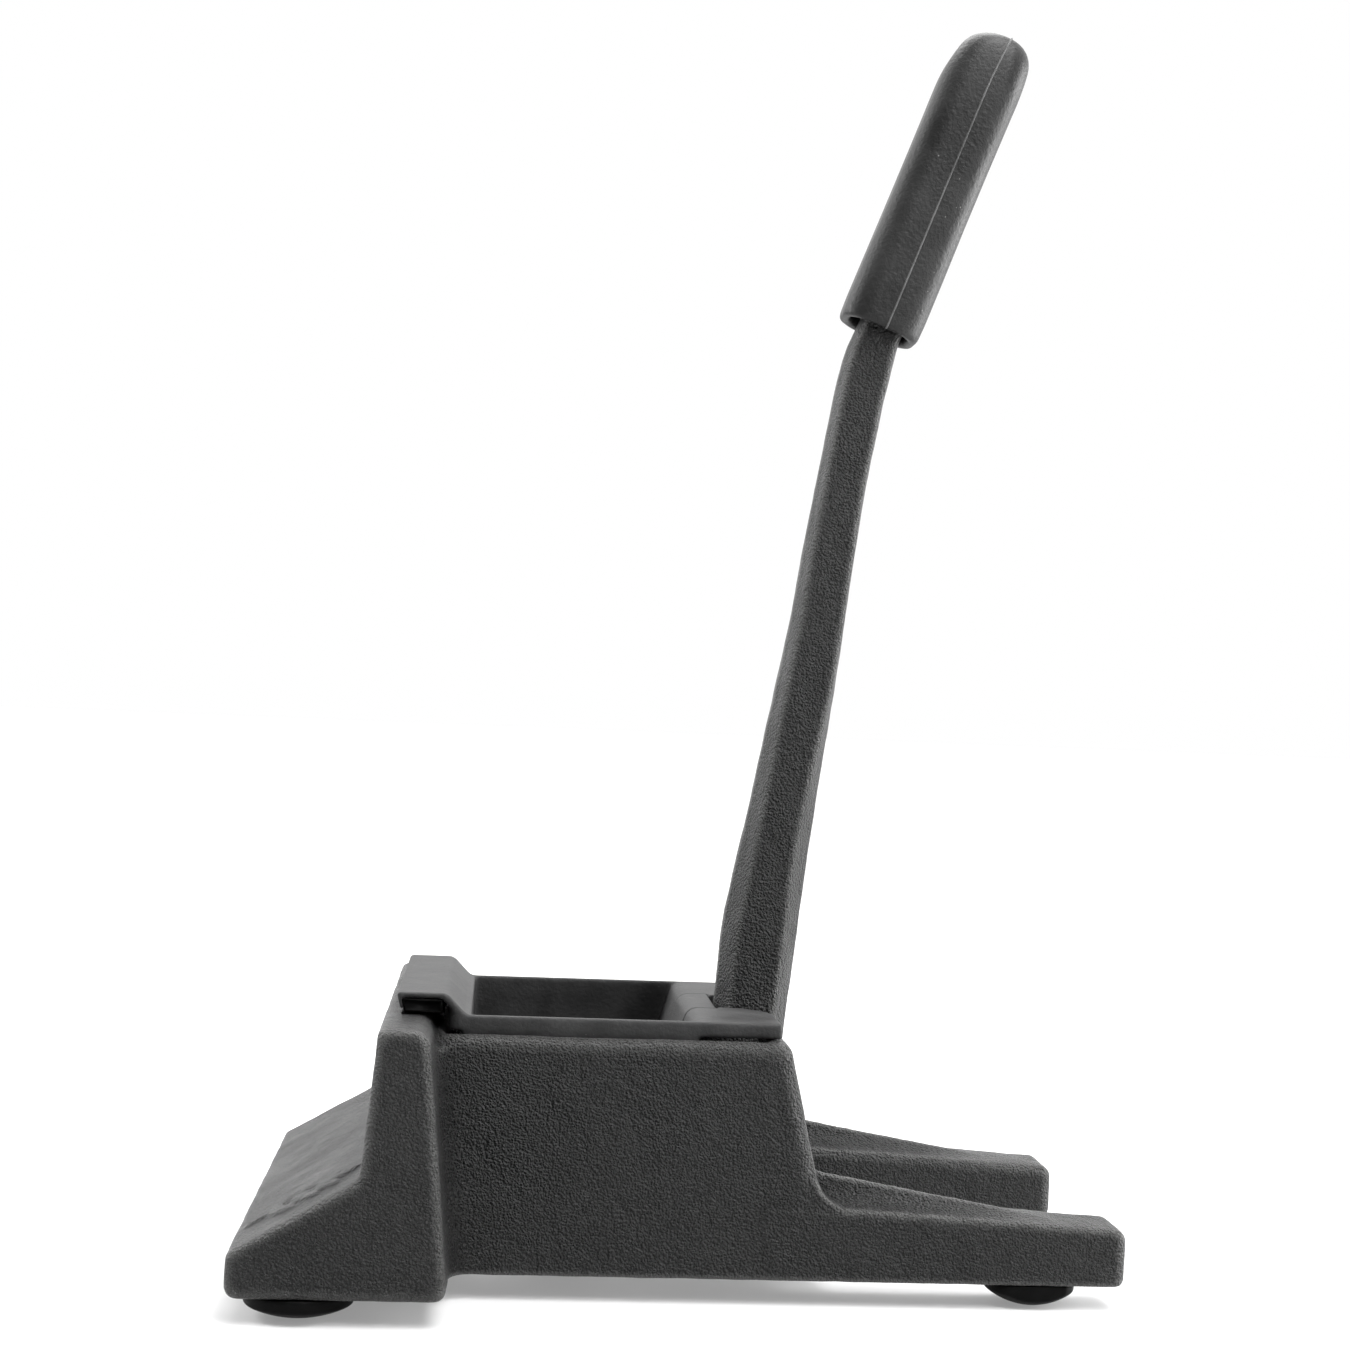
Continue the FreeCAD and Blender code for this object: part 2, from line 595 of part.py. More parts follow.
def nut_tray():
    # Drop-in tray: lip over the upright, bowl with a sloping back, deck with two arms beside the lever.
    wall = tray_wall
    slope = (bowl_rear_x - bowl_floor_rear_x) / (rim_z - bowl_floor_z)
    outer = plate_y(
        [(bowl_front_x, bowl_floor_z - wall), (bowl_front_x, rim_z), (bowl_rear_x + wall, rim_z),
         (bowl_floor_rear_x + wall, bowl_floor_z - wall)],
        [3, 0, 0, 3], -tray_half, tray_half)
    inner = plate_y(
        [(bowl_front_x + wall, bowl_floor_z), (bowl_front_x + wall, rim_z + 1),
         (bowl_rear_x + slope, rim_z + 1), (bowl_floor_rear_x, bowl_floor_z)],
        [3, 0, 0, 4], -tray_half + wall, tray_half - wall)
    deck = block((bowl_rear_x, tray_rear_x), (-tray_half, tray_half), (rim_z - rim_depth, rim_z))
    shoulder = prism(
        [(lip_rear_x + 0.5, -tray_half), (lip_rear_x + 0.5, tray_half),
         (bowl_front_x + wall, tray_half), (bowl_front_x + wall, -tray_half)],
        [3.2, 3.2, 0, 0], on_xy(rim_z - rim_depth), V(0, 0, lip_top_z - rim_z + rim_depth))
    above_lip = plate_y(
        [(lip_rear_x - 2, lip_top_z + 1), (lip_rear_x - 2, lip_top_z - 0.3),
         (lip_rear_x - 0.4, lip_top_z - 0.3), (bowl_front_x + 0.8, rim_z - 0.3), (bowl_front_x + wall + 1, rim_z - 0.3),
         (bowl_front_x + wall + 1, lip_top_z + 1)],
        [0] * 6, -tray_half - 1, tray_half + 1)
    shoulder = shoulder.cut(above_lip)
    lip_outline = [
        (lip_front_x + 1.3, lip_top_z - 4.6), (lip_front_x, lip_top_z), (lip_rear_x, lip_top_z),
        (bowl_front_x + 1.0, rim_z), (bowl_front_x + 2.0, rim_z),
        (bowl_front_x + 2.0, rim_z - lip_thick - 1.2),
        (bowl_front_x - 0.8, rim_z - 1.2),
        (lip_rear_x - 1.2, lip_top_z - lip_thick), (lip_front_x + lip_thick, lip_top_z - lip_thick),
        (lip_front_x + lip_thick + 0.8, lip_top_z - 4.6),
    ]
    lip = plate_y(lip_outline, [0.4, 0.8, 3.0, 3.0, 0, 0, 0, 2.0, 0.5, 0.4], -tray_half, tray_half)
    body = outer.multiFuse([deck, lip, shoulder]).cut(inner).removeSplitter()

    def back_rim(edge):
        box = edge.BoundBox
        return box.YLength > tray_half and box.ZMin > rim_z - 0.1 and abs(box.XMin - bowl_rear_x) < 0.1
    body = rounded(body, 3.5, back_rim)
    body = body.cut(tray_slot(rim_z - 20, rim_z + 10))
    channel_half = tongue_half + tongue_slit
    body = body.cut(block((tongue_foot_x, slot_front_x), (-channel_half, channel_half), (20, rim_z + 1)))
    anvil_gap = 1.0
    body = body.cut(block(
        (-90, anvil_face_top_x + anvil_gap), (-anvil_half - anvil_gap, anvil_half + anvil_gap),
        (20, anvil_top_z + anvil_gap)))
    return body.removeSplitter()


def tray_tongue():
    # Flexible strip of the tray: deck in front of the lever, bowl's back, and part of the floor.
    thick = tongue_thick
    outline = [
        (slot_front_x, rim_z), (bowl_rear_x, rim_z), (bowl_floor_rear_x, bowl_floor_z),
        (tongue_foot_x + 0.3, bowl_floor_z), (tongue_foot_x + 0.3, bowl_floor_z - thick),
        (bowl_floor_rear_x + 1.2, bowl_floor_z - thick), (bowl_rear_x + 1.4, rim_z - thick),
        (slot_front_x, rim_z - thick),
    ]
    return plate_y(outline, [0.5, 3.5, 4, 0, 0, 5, 1.5, 0.5], -tongue_half, tongue_half)


def foot(place, side):
    # Domed rubber foot with a small flat, round a stud.
    x, y, rim_r, dome_r = place
    flat_z = dome_r - math.sqrt(dome_r ** 2 - foot_flat_r ** 2)
    dome_low = -flat_z
    rim_low = dome_low + dome_r - math.sqrt(dome_r ** 2 - rim_r ** 2)
    middle_r = (foot_flat_r + rim_r) / 2
    middle_z = dome_low + dome_r - math.sqrt(dome_r ** 2 - middle_r ** 2)
    outline = Part.Wire([
        Part.LineSegment(V(0, 0, 0), V(foot_flat_r, 0, 0)).toShape(),
        Part.Arc(V(foot_flat_r, 0, 0), V(middle_r, 0, middle_z), V(rim_r, 0, rim_low)).toShape(),
        Part.LineSegment(V(rim_r, 0, rim_low), V(rim_r, 0, under)).toShape(),
        Part.LineSegment(V(rim_r, 0, under), V(0, 0, under)).toShape(),
        Part.LineSegment(V(0, 0, under), V(0, 0, 0)).toShape(),
    ])
    body = Part.Face(outline).revolve(V(0, 0, 0), V(0, 0, 1), 360)
    body.translate(V(x, side * y, 0))
    if place == foot_rear:
        side_range = (side * y - foot_rear_half, side * y + foot_rear_half)
        body = body.common(block((0, rear), side_range, (0, under)))
    return body.cut(rod_z(x, side * y, stud_r + fit_gap, under - stud_into_foot - fit_gap, under + 1))


def foot_studs():
    studs = []
    for x, y, _, _ in (foot_front, foot_rear):
        for side in (-1, 1):
            stud = rod_z(x, side * y, stud_r, under - stud_into_foot, under + stud_into_iron - 0.5)
            studs.append(stud)
    return Part.makeCompound(studs)


def left_and_right(maker, name):
    return {name + "_left": maker(1), name + "_right": maker(-1)}


pieces = {
    "base_casting": base_casting(),
    "anvil": anvil(),
    "anvil_screws": anvil_screws(),
    "lever": lever(),
    "hand_grip": hand_grip(),
    "pivot_pin": pivot_pin(),
    "strap_screws": strap_screws(),
    "nut_tray": nut_tray(),
    "tray_tongue": tray_tongue(),
    "foot_studs": foot_studs(),
}
pieces.update(left_and_right(bush, "bush"))
pieces.update(left_and_right(thrust_washer, "thrust_washer"))
pieces.update(left_and_right(retaining_ring, "retaining_ring"))
pieces.update(left_and_right(pin_strap, "pin_strap"))
pieces.update(left_and_right(lambda side: foot(foot_front, side), "foot_front"))
pieces.update(left_and_right(lambda side: foot(foot_rear, side), "foot_rear"))

for name, shape in pieces.items():
    shape.exportStep("parts/" + name + ".step")
    box = shape.BoundBox
    print(name, "valid", shape.isValid(), "solids", len(shape.Solids), "volume", round(shape.Volume),
          "box", [round(v, 1) for v in (box.XMin, box.XMax, box.YMin, box.YMax, box.ZMin, box.ZMax)])
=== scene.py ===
import json
import math

import bmesh
import bpy
from mathutils import Matrix, Vector


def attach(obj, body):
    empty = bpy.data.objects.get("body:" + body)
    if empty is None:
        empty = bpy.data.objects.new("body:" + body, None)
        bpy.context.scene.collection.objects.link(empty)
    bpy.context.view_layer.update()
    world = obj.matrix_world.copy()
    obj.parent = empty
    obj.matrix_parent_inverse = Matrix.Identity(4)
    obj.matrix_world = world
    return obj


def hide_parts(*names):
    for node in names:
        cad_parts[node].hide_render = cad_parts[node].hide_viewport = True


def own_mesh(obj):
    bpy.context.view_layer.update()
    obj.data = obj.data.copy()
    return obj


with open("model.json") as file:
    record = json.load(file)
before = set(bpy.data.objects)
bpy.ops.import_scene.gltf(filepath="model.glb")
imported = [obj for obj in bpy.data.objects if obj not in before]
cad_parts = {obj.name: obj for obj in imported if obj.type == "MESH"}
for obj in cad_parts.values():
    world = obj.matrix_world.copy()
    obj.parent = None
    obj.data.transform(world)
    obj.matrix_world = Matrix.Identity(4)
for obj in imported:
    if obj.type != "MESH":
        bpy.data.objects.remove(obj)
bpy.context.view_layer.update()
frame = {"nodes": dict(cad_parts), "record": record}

# Lever nutcracker. Metres, +Z up.
nodes = frame["nodes"]


# Helpers that build node trees.

def startMaterial(name):
    material = bpy.data.materials.new(name)
    material.use_nodes = True
    tree = material.node_tree
    shader = tree.nodes["Principled BSDF"]
    return material, tree, shader


def addNode(tree, kind, **sockets):
    node = tree.nodes.new(kind)
    for key, value in sockets.items():
        node.inputs[key].default_value = value
    return node


def noiseAt(tree, place, scale, detail=3.0, rough=0.55):
    node = addNode(tree, "ShaderNodeTexNoise", Scale=scale, Detail=detail, Roughness=rough)
    tree.links.new(place, node.inputs["Vector"])
    return node.outputs["Fac"]


def cellsAt(tree, place, scale, feature="SMOOTH_F1"):
    node = addNode(tree, "ShaderNodeTexVoronoi", Scale=scale)
    node.feature = feature
    tree.links.new(place, node.inputs["Vector"])
    return node.outputs["Distance"]


def mapTo(tree, value, fromLow, fromHigh, toLow, toHigh):
    node = tree.nodes.new("ShaderNodeMapRange")
    node.clamp = True
    for i, number in enumerate((fromLow, fromHigh, toLow, toHigh)):
        node.inputs[i + 1].default_value = number
    tree.links.new(value, node.inputs[0])
    return node.outputs[0]


def mixColours(tree, factor, dark, light):
    node = tree.nodes.new("ShaderNodeMix")
    node.data_type = "RGBA"
    tree.links.new(factor, node.inputs[0])
    for socket, colour in ((node.inputs[6], dark), (node.inputs[7], light)):
        if isinstance(colour, tuple):
            socket.default_value = (*colour, 1)
        else:
            tree.links.new(colour, socket)
    return node.outputs[2]


def calculate(tree, operation, first, second):
    node = tree.nodes.new("ShaderNodeMath")
    node.operation = operation
    for i, value in enumerate((first, second)):
        if isinstance(value, (int, float)):
            node.inputs[i].default_value = value
        else:
            tree.links.new(value, node.inputs[i])
    return node.outputs[0]


def bumpFrom(tree, height, distance, strength, below=None):
    node = addNode(tree, "ShaderNodeBump", Strength=strength, Distance=distance)
    tree.links.new(height, node.inputs["Height"])
    if below is not None:
        tree.links.new(below, node.inputs["Normal"])
    return node.outputs["Normal"]


def objectPlace(tree):
    return tree.nodes.new("ShaderNodeTexCoord").outputs["Object"]


# Finishes. Colours are linear, sizes are in metres.

castIronLook = {
    "dark": (0.004, 0.004, 0.0041),
    "light": (0.018, 0.018, 0.0178),
    "shine": 0.28,
    "edge": (0.085, 0.085, 0.083),     # painted highlight: edges made paler as if light caught them
    "edgeRange": (0.503, 0.535),
    # painted shade: the colour laid into hollows
    "hollow": (0.0035, 0.0035, 0.0035),
    "hollowRange": (0.47, 0.497),
    "grainPerMetre": 1500,
    "grainDepth": 0.00180,
    "wavePerMetre": 120,               # broad dimples between the grain
    "waveDepth": 0.0038,
}


def makeCastIron(name="pebbledCastIron", look=castIronLook):
    material, tree, shader = startMaterial(name)
    place = objectPlace(tree)
    grain = cellsAt(tree, place, look["grainPerMetre"])
    fineGrain = noiseAt(tree, place, look["grainPerMetre"] * 1.3, 2.0, 0.6)
    height = calculate(tree, "ADD", calculate(tree, "MULTIPLY", grain, -0.8),
                       calculate(tree, "MULTIPLY", fineGrain, 0.9))
    wave = noiseAt(tree, place, look["wavePerMetre"], 2.0)
    broad = bumpFrom(tree, wave, look["waveDepth"], 0.6)
    normal = bumpFrom(tree, height, look["grainDepth"], 1.0, broad)
    tree.links.new(normal, shader.inputs["Normal"])
    patch = noiseAt(tree, place, 55, 4.0)
    tone = calculate(tree, "ADD", calculate(tree, "MULTIPLY", patch, 0.45),
                     calculate(tree, "MULTIPLY", height, 0.6))
    colour = mixColours(tree, mapTo(tree, tone, 0.1, 0.5, 0, 1), look["dark"], look["light"])
    bend = tree.nodes.new("ShaderNodeNewGeometry").outputs["Pointiness"]  # low in hollows, high on edges
    edges = mapTo(tree, bend, *look["edgeRange"], 0, 1)
    hollows = mapTo(tree, bend, *look["hollowRange"], 1, 0)
    # painted highlight on convex edges, then painted shade in hollows, both picked by pointiness
    colour = mixColours(tree, edges, colour, look["edge"])
    colour = mixColours(tree, hollows, colour, look["hollow"])
    tree.links.new(colour, shader.inputs["Base Color"])
    tree.links.new(mapTo(tree, patch, 0.3, 0.7, 0.34, 0.46), shader.inputs["Roughness"])
    shader.inputs["Specular IOR Level"].default_value = look["shine"]
    return material


siliconeLook = {
    "dark": (0.012, 0.012, 0.0122),
    "light": (0.036, 0.036, 0.0362),
    "dust": (0.16, 0.16, 0.155),
    "shine": 0.26,
    "rough": (0.52, 0.66),
    "speckPerMetre": 420,
}


def makeSilicone(name="smoothSilicone", look=siliconeLook):
    material, tree, shader = startMaterial(name)
    place = objectPlace(tree)
    patch = noiseAt(tree, place, 70, 4.0)
    skin = noiseAt(tree, place, 900, 3.0)
    tree.links.new(bumpFrom(tree, skin, 0.00030, 0.7), shader.inputs["Normal"])
    base = mixColours(tree, mapTo(tree, patch, 0.3, 0.7, 0, 1), look["dark"], look["light"])
    speckCells = cellsAt(tree, place, look["speckPerMetre"], "F1")
    speckChance = noiseAt(tree, place, 260, 2.0)
    specks = calculate(tree, "MULTIPLY", mapTo(tree, speckCells, 0.05, 0.09, 1, 0),
                       mapTo(tree, speckChance, 0.60, 0.66, 0, 1))
    tree.links.new(mixColours(tree, specks, base, look["dust"]), shader.inputs["Base Color"])
    tree.links.new(mapTo(tree, patch, 0.3, 0.7, *look["rough"]), shader.inputs["Roughness"])
    shader.inputs["Specular IOR Level"].default_value = look["shine"]
    return material


def makeFootRubber():
    material, tree, shader = startMaterial("footRubber")
    place = objectPlace(tree)
    patch = noiseAt(tree, place, 160, 3.0)
    share = mapTo(tree, patch, 0.3, 0.7, 0, 1)
    colour = mixColours(tree, share, (0.0015, 0.0015, 0.0015), (0.004, 0.004, 0.004))
    tree.links.new(colour, shader.inputs["Base Color"])
    tree.links.new(mapTo(tree, patch, 0.3, 0.7, 0.40, 0.55), shader.inputs["Roughness"])
    shader.inputs["Specular IOR Level"].default_value = 0.05
    tree.links.new(bumpFrom(tree, noiseAt(tree, place, 1400, 2.0), 0.00005, 0.4), shader.inputs["Normal"])
    return material


def makeMetal(name, dark, light, rough, scratches):
    material, tree, shader = startMaterial(name)
    shader.inputs["Metallic"].default_value = 1.0
    place = objectPlace(tree)
    stretch = addNode(tree, "ShaderNodeMapping")
    stretch.inputs["Scale"].default_value = scratches
    tree.links.new(place, stretch.inputs["Vector"])
    lines = noiseAt(tree, stretch.outputs["Vector"], 300, 5.0, 0.7)
    stain = noiseAt(tree, place, 180, 4.0)
    share = mapTo(tree, stain, 0.3, 0.7, 0, 1)
    tree.links.new(mixColours(tree, share, dark, light), shader.inputs["Base Color"])
    tree.links.new(mapTo(tree, lines, 0.3, 0.7, rough[0], rough[1]), shader.inputs["Roughness"])
    tree.links.new(bumpFrom(tree, lines, 0.00004, 0.35), shader.inputs["Normal"])
    return material


castIron = makeCastIron()
silicone = makeSilicone()
gripSkin = dict(siliconeLook, dark=(0.005, 0.005, 0.005), light=(0.017, 0.017, 0.017), rough=(0.42, 0.55))
gripSilicone = makeSilicone("gripSilicone", gripSkin)
# painted highlight: a paler copy of the silicone, so the raised seam reads as a light line
seamHighlightSkin = dict(siliconeLook, dark=(0.05, 0.05, 0.05), light=(0.11, 0.11, 0.11))
paleSilicone = makeSilicone("seamHighlightSilicone", seamHighlightSkin)
footRubber = makeFootRubber()
platedSteel = makeMetal("platedSteel", (0.22, 0.22, 0.225), (0.36, 0.36, 0.365), (0.34, 0.50), (1, 12, 1))
bronze = makeMetal("sinteredBronze", (0.36, 0.22, 0.10), (0.58, 0.38, 0.17), (0.38, 0.55), (3, 3, 3))


def paint(piece, material):
    piece.data.materials.clear()
    piece.data.materials.append(material)


finishOfSlot = {
    "cast_iron": castIron,
    "silicone": silicone,
    "foot_rubber": footRubber,
    "steel": platedSteel,
    "bronze": bronze,
}
for entry in frame["record"]["subparts"]:
    paint(nodes[entry["node"]], finishOfSlot[entry["material_slot"]])
print("finishes on the CAD nodes: done")


# Iron castings: edges softened as they come from the mould.

castingLook = {
    "voxel": 0.0007,
    "relaxing": 8,
    "waveHeight": 0.00032,   # slow unevenness of the cast faces
    "waveSize": 0.008,
}


def soften(piece, voxel, relaxing):
    remesh = piece.modifiers.new("mouldSkin", "REMESH")
    remesh.mode = "VOXEL"
    remesh.voxel_size = voxel
    remesh.use_smooth_shade = True
    relax = piece.modifiers.new("softEdges", "SMOOTH")
    relax.factor = 0.5
    relax.iterations = relaxing


def makeWavy(piece, height, size):
    texture = bpy.data.textures.new(piece.name + "Wave", "CLOUDS")
    texture.noise_scale = size
    texture.noise_depth = 1
    wave = piece.modifiers.new("castWave", "DISPLACE")
    wave.texture = texture
    wave.texture_coords = "LOCAL"
    wave.strength = height
    wave.mid_level = 0.5


soften(nodes["base_casting"], castingLook["voxel"], castingLook["relaxing"])
soften(nodes["lever"], 0.0006, 3)
soften(nodes["anvil"], 0.0006, 2)
for castName in ("base_casting", "lever", "anvil"):
    makeWavy(nodes[castName], castingLook["waveHeight"], castingLook["waveSize"])
for footName in ("foot_front_left", "foot_front_right", "foot_rear_left", "foot_rear_right"):
    soften(nodes[footName], 0.0005, 10)
print("castings and feet softened: done")


# Silicone pieces.

def newPiece(name, mesh, material, body, slotName, *replaced):
    piece = bpy.data.objects.new(name, mesh)
    bpy.context.scene.collection.objects.link(piece)
    paint(piece, material)
    for face in mesh.polygons:
        face.use_smooth = True
    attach(piece, body)
    if replaced:
        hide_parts(*replaced)
    return piece


def meshFromNode(nodeName, voxel, relaxing):
    # The moulding's closed form, remeshed finely and relaxed, so that its edges are soft.
    piece = nodes[nodeName].copy()
    piece.data = nodes[nodeName].data.copy()
    bpy.context.scene.collection.objects.link(piece)
    remesh = piece.modifiers.new("remesh", "REMESH")
    remesh.mode = "VOXEL"
    remesh.voxel_size = voxel
    relax = piece.modifiers.new("relax", "SMOOTH")
    relax.factor = 0.5
    relax.iterations = relaxing
    graph = bpy.context.evaluated_depsgraph_get()
    mesh = bpy.data.meshes.new_from_object(piece.evaluated_get(graph))
    bpy.data.objects.remove(piece)
    return mesh


trayLook = {
    "voxel": 0.0005,
    "relaxing": 9,
    "tongueRelaxing": 4,
    "tongueGrowth": 0.00030,   # narrows the seam at the tongue's low X end and sides
    "sideShare": 1.6,          # growth of each side, as a share of tongueGrowth
}
trayMesh = meshFromNode("nut_tray", trayLook["voxel"], trayLook["relaxing"])
newPiece("nutTray", trayMesh, silicone, "tray", "silicone", "nut_tray")
tongueMesh = meshFromNode("tray_tongue", trayLook["voxel"], trayLook["tongueRelaxing"])
trayTongue = newPiece("trayTongue", tongueMesh, silicone, "tray", "silicone", "tray_tongue")
tongueGrowth = trayLook["tongueGrowth"]
tongueCorners = [vertex.co.copy() for vertex in trayTongue.data.vertices]
middleX = (min(c.x for c in tongueCorners) + max(c.x for c in tongueCorners)) / 2
halfX = (max(c.x for c in tongueCorners) - min(c.x for c in tongueCorners)) / 2
halfY = max(c.y for c in tongueCorners)
for vertex in trayTongue.data.vertices:
    vertex.co.x = middleX + (vertex.co.x - middleX) * (1 + tongueGrowth / halfX) - tongueGrowth
    vertex.co.y *= 1 + trayLook["sideShare"] * tongueGrowth / halfY
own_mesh(trayTongue)

# Dark ribs under the two ends of the lip, there only for the looks: painted shade, dark blocks put where the
# deep shade under the lip falls. The CAD tray has none.
lipShadeRibs = {
    "x": (-0.0778, -0.0670),
    "y": (0.0248, 0.0434),
    "z": (0.07320, 0.07690),
    "undercut": 0.0007,   # how far the lower edge at low X stands back
    "bevel": 0.0006,
}


def makeLipShadeRib(side):
    mesh = bmesh.new()
    bmesh.ops.create_cube(mesh, size=1.0)
    for vertex in mesh.verts:
        where = vertex.co + Vector((0.5, 0.5, 0.5))
        low, high = lipShadeRibs["x"]
        x = low + where.x * (high - low)
        y = lipShadeRibs["y"][0] + where.y * (lipShadeRibs["y"][1] - lipShadeRibs["y"][0])
        z = lipShadeRibs["z"][0] + where.z * (lipShadeRibs["z"][1] - lipShadeRibs["z"][0])
        standsBack = lipShadeRibs["undercut"] if where.z < 0.5 and where.x < 0.5 else 0
        vertex.co = (x + standsBack, side * y, z)
    bmesh.ops.bevel(mesh, geom=mesh.edges[:], offset=lipShadeRibs["bevel"], segments=3, affect="EDGES")
    bmesh.ops.recalc_face_normals(mesh, faces=mesh.faces)
    data = bpy.data.meshes.new("lipShadeRib")
    mesh.to_mesh(data)
    mesh.free()
    return data


# painted shade: the ribs take the near-black foot rubber finish
for side, sideName in ((1, "Left"), (-1, "Right")):
    newPiece("lipShadeRib" + sideName, makeLipShadeRib(side), footRubber, "tray", "silicone")
print("tray and tongue: done")


gripLook = {
    "foot": (0.0489, 0.2672),      # middle of the mouth, X and Z
    "tilt": math.radians(20.55),
    "width": 0.0208,
    "cornerRadius": 0.0076,
    "wall": 0.0030,
    "seamWidth": 0.00028,          # raised line left by the mould
    "seamPlace": 0.0012,           # behind the middle of the grip's side
    # how far up the grip, front face, rear face, share of the width
    "stations": [
        (-0.0008, -0.01085, 0.01045, 0.950), (-0.0004, -0.01140, 0.01110, 0.985),
        (0.0006, -0.01175, 0.01150, 1.000), (0.0060, -0.01190, 0.01170, 1.000),
        (0.0200, -0.01185, 0.01165, 0.990), (0.0370, -0.01180, 0.01150, 0.980),
        (0.0540, -0.01180, 0.01150, 0.985), (0.0700, -0.01190, 0.01160, 0.995),
        (0.0745, -0.01190, 0.01165, 1.000), (0.0785, -0.01160, 0.01160, 0.990),
        (0.0825, -0.01085, 0.01140, 0.965), (0.0860, -0.00995, 0.01105, 0.920),
        (0.0886, -0.00870, 0.01020, 0.850), (0.0903, -0.00700, 0.00910, 0.750),
        (0.0915, -0.00480, 0.00750, 0.600), (0.0921, -0.00200, 0.00530, 0.380),
    ],
}


def gripSection(front, rear, halfWidth, radius, count):
    # An outline with rounded corners, as pairs of depth and side.
    middle = (front + rear) / 2
    halfDepth = (rear - front) / 2
    radius = min(radius, halfDepth * 0.98, halfWidth * 0.98)
    outline = []
    corners = ((1, 1), (-1, 1), (-1, -1), (1, -1))
    steps = count // 4
    for quarter, (signU, signV) in enumerate(corners):
        for i in range(steps):
            angle = math.radians(90 * (quarter + (i + 0.5) / steps))
            u = signU * (halfDepth - radius) + radius * math.cos(angle)
            v = signV * (halfWidth - radius) + radius * math.sin(angle)
            outline.append((middle + u, v))
    return outline


def gripPlace(depth, side, reach):
    # From depth and reach along the tilted grip to a place in the scene.
    cosTilt, sinTilt = math.cos(gripLook["tilt"]), math.sin(gripLook["tilt"])
    x = gripLook["foot"][0] + depth * cosTilt + reach * sinTilt
    z = gripLook["foot"][1] - depth * sinTilt + reach * cosTilt
    return Vector((x, side, z))


def makeGrip():
    look = gripLook
    half = look["width"] / 2
    count = 96
    radius = look["cornerRadius"]
    stations = look["stations"]
    ringStep = 0.0015
    fine = []  # extra rings where the stations lie far apart
    for lower, upper in zip(stations, stations[1:]):
        pieces = max(1, int((upper[0] - lower[0]) / ringStep))
        for i in range(pieces):
            share = i / pieces
            fine.append([a + share * (b - a) for a, b in zip(lower, upper)])
    fine.append(stations[-1])
    wall = look["wall"]
    mouth = (-0.01145, 0.01125)
    rings = []  # reach, front, rear, half width, corner radius
    for reach in (0.014, 0.004, 0.0002):
        rings.append((reach, mouth[0] + wall, mouth[1] - wall, half - wall, radius - wall * 0.6))
    lipWall = wall * 0.6
    rings.append((-0.0007, mouth[0] + lipWall, mouth[1] - lipWall, half - lipWall, radius - 0.0008))
    for reach, frontFace, rearFace, share in fine:
        rings.append((reach, frontFace, rearFace, half * share, radius))
    mesh = bmesh.new()
    made = []
    for reach, frontFace, rearFace, halfWidth, cornerRadius in rings:
        outline = gripSection(frontFace, rearFace, halfWidth, cornerRadius, count)
        made.append([mesh.verts.new(gripPlace(depth, side, reach)) for depth, side in outline])
    for lower, upper in zip(made, made[1:]):
        for i in range(count):
            j = (i + 1) % count
            mesh.faces.new((lower[i], lower[j], upper[j], upper[i]))
    top = mesh.verts.new(gripPlace(0.0017, 0, 0.0923))
    for i in range(count):
        mesh.faces.new((made[-1][i], made[-1][(i + 1) % count], top))
    inner = mesh.verts.new(gripPlace(0, 0, 0.014))
    for i in range(count):
        mesh.faces.new((made[0][(i + 1) % count], made[0][i], inner))
    bmesh.ops.recalc_face_normals(mesh, faces=mesh.faces)
    data = bpy.data.meshes.new("handGrip")
    mesh.to_mesh(data)
    mesh.free()
    return data


def makeGripSeam():
    # Thin raised line up one side, over the crown and down the other.
    look = gripLook
    half = look["width"] / 2
    walk = []
    for side in (-1, 1):
        line = []
        for reach, frontFace, rearFace, share in look["stations"]:
            depth = look["seamPlace"] + (frontFace + rearFace) / 2
            line.append((depth, side * (half * share - 0.00005), reach))
        walk.append(line)
    points = walk[0] + [(0.0026, 0, 0.0922)] + walk[1][::-1]
    curve = bpy.data.curves.new("gripSeam", "CURVE")
    curve.dimensions = "3D"
    spline = curve.splines.new("POLY")
    spline.points.add(len(points) - 1)
    for point, (depth, side, reach) in zip(spline.points, points):
        point.co = (*gripPlace(depth, side, reach), 1)
    curve.bevel_depth = look["seamWidth"]
    curve.bevel_resolution = 2
    piece = bpy.data.objects.new("gripSeamCurve", curve)
    bpy.context.scene.collection.objects.link(piece)
    mesh = bpy.data.meshes.new_from_object(piece)
    bpy.data.objects.remove(piece)
    return mesh


handGrip = newPiece("handGrip", makeGrip(), gripSilicone, "lever", "silicone", "hand_grip")
smooth = handGrip.modifiers.new("soft", "SUBSURF")
smooth.levels = 1
smooth.render_levels = 1
# the seam takes the paler silicone copy: painted highlight
newPiece("gripSeam", makeGripSeam(), paleSilicone, "lever", "silicone")
print("grip: done")


# Studio.

studio = {
    "floorSize": 14.0,
    "floorColour": (0.48, 0.48, 0.48),
    "floorGlow": 0.60,     # keeps the far floor as pale as the backdrop
    "floorGlowNear": 0.24,
    "backdrop": 1.7,       # brightness of the white surround behind the tool
    "roomInFront": 0.12,   # brightness of the room on the viewer's side
}


